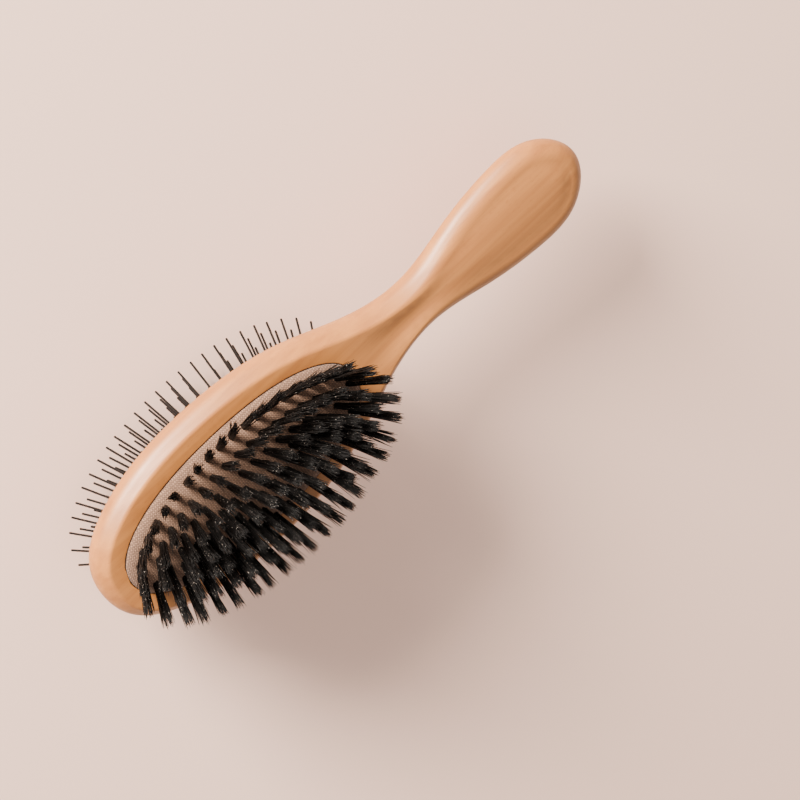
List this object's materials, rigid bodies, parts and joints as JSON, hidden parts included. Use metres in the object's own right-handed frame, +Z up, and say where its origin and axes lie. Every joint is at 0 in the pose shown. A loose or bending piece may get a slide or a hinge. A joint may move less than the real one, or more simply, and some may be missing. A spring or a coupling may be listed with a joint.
{
  "type": "paddle brush",
  "caption": "Two-sided wooden cushion hair brush: boar-bristle tufts on one face and steel pins on the other, each set in a domed, fabric-faced rubber cushion, with a flat paddle-shaped handle.",
  "frame": {"origin": "under the middle of the brush, at the level of the lowest pin tips, which it rests on", "axes": "+X from the head's tip to the handle's end, +Z up, out of the boar-bristle side, +Y across the brush"},
  "size_m": [0.225, 0.064, 0.0642],
  "materials": {
    "beech": "satin lacquer over fine straight grain",
    "woven_facing": "fine plain weave",
    "cushion_rubber": "matte",
    "boar_bristle": "natural black bristle with a slight gloss",
    "staple_steel": "drawn wire",
    "pin_steel": "black-coated wire"
  },
  "bodies": {
    "handle_body": {"wood_body": "beech"},
    "bristle_cushion": {"bristle_fabric_facing": "woven_facing", "bristle_rubber_cushion": "cushion_rubber", "bristle_ring_1": "boar_bristle", "bristle_ring_2": "boar_bristle", "bristle_ring_3": "boar_bristle", "bristle_middle_row": "boar_bristle", "tuft_staples": "staple_steel"},
    "pin_cushion": {"pin_fabric_facing": "woven_facing", "pin_rubber_cushion": "cushion_rubber", "pin_ring_1": "pin_steel", "pin_ring_2": "pin_steel", "pin_ring_3": "pin_steel", "pin_ring_4": "pin_steel", "pin_ring_5": "pin_steel", "pin_middle_row": "pin_steel"}
  },
  "joints": [
    {"name": "bristle_cushion_press", "type": "slide", "parent": "handle_body", "child": "bristle_cushion", "axis": [0, 0, -1], "range_m": [0, 0.0025], "stiffness_N_per_m": 3000, "deforming": ["bristle_fabric_facing", "bristle_rubber_cushion"]},
    {"name": "pin_cushion_press", "type": "slide", "parent": "handle_body", "child": "pin_cushion", "axis": [0, 0, 1], "range_m": [0, 0.0025], "stiffness_N_per_m": 3000, "deforming": ["pin_fabric_facing", "pin_rubber_cushion"]}
  ]
}
